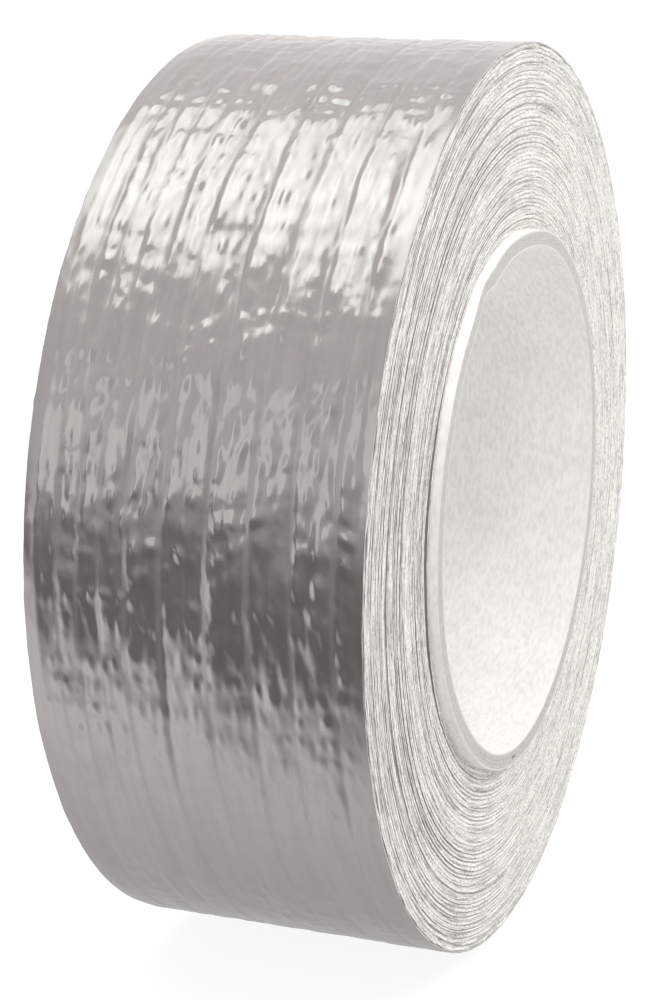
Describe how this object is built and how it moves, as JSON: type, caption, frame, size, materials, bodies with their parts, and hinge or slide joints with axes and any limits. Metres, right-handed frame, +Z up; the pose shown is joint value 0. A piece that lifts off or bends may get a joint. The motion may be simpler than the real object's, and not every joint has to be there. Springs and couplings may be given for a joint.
{
  "type": "duct tape roll",
  "caption": "Full roll of silver-grey cloth-backed duct tape on a paper core, standing on its tread, with a free end that peels back.",
  "frame": {"origin": "on the axis of the bore, halfway between the outermost side faces", "axes": "+X along the bore's axis, out of the side where the core stands proud; +Z up as the roll stands on its tread; -Y towards the front"},
  "size_m": [0.0498, 0.1357, 0.1357],
  "materials": {
    "silver_film": "silver-grey polyethylene film, glossy, with the weave of the cloth showing through",
    "scrim_cloth": "open white gauze",
    "adhesive": "tacky grey-cream rubber adhesive",
    "wound_edges": "knife-cut edges of the wound layers, fine concentric lines",
    "white_paper": "uncoated white paper liner",
    "grey_board": "cut grey board"
  },
  "bodies": {
    "roll": {"core_inner_liner": "white_paper", "core_board_ply_1": "grey_board", "core_board_ply_2": "grey_board", "core_board_ply_3": "grey_board", "core_outer_liner": "white_paper", "tape_winding": "wound_edges", "outer_turn_adhesive": "adhesive", "outer_turn_scrim": "scrim_cloth", "outer_turn_film": "silver_film"},
    "tape_end_1": {"tape_end_1_adhesive": "adhesive", "tape_end_1_scrim": "scrim_cloth", "tape_end_1_film": "silver_film"},
    "tape_end_2": {"tape_end_2_adhesive": "adhesive", "tape_end_2_scrim": "scrim_cloth", "tape_end_2_film": "silver_film"},
    "tape_end_3": {"tape_end_3_adhesive": "adhesive", "tape_end_3_scrim": "scrim_cloth", "tape_end_3_film": "silver_film"},
    "tape_end_4": {"tape_end_4_adhesive": "adhesive", "tape_end_4_scrim": "scrim_cloth", "tape_end_4_film": "silver_film"}
  },
  "joints": [
    {"name": "peel_1", "type": "hinge", "parent": "roll", "child": "tape_end_1", "pos_m": [0, 0.0385, 0.05602], "axis": [1, 0, 0], "range_deg": [0, 30]},
    {"name": "peel_2", "type": "hinge", "parent": "tape_end_1", "child": "tape_end_2", "pos_m": [0, 0.0468, 0.04932], "axis": [1, 0, 0], "range_deg": [0, 30]},
    {"name": "peel_3", "type": "hinge", "parent": "tape_end_2", "child": "tape_end_3", "pos_m": [0, 0.05394, 0.04139], "axis": [1, 0, 0], "range_deg": [0, 30]},
    {"name": "peel_4", "type": "hinge", "parent": "tape_end_3", "child": "tape_end_4", "pos_m": [0, 0.05976, 0.03244], "axis": [1, 0, 0], "range_deg": [0, 30]}
  ],
  "couplings": [
    {"joint": "peel_2", "follows": "peel_1", "ratio": 1},
    {"joint": "peel_3", "follows": "peel_1", "ratio": 1},
    {"joint": "peel_4", "follows": "peel_1", "ratio": 1}
  ]
}
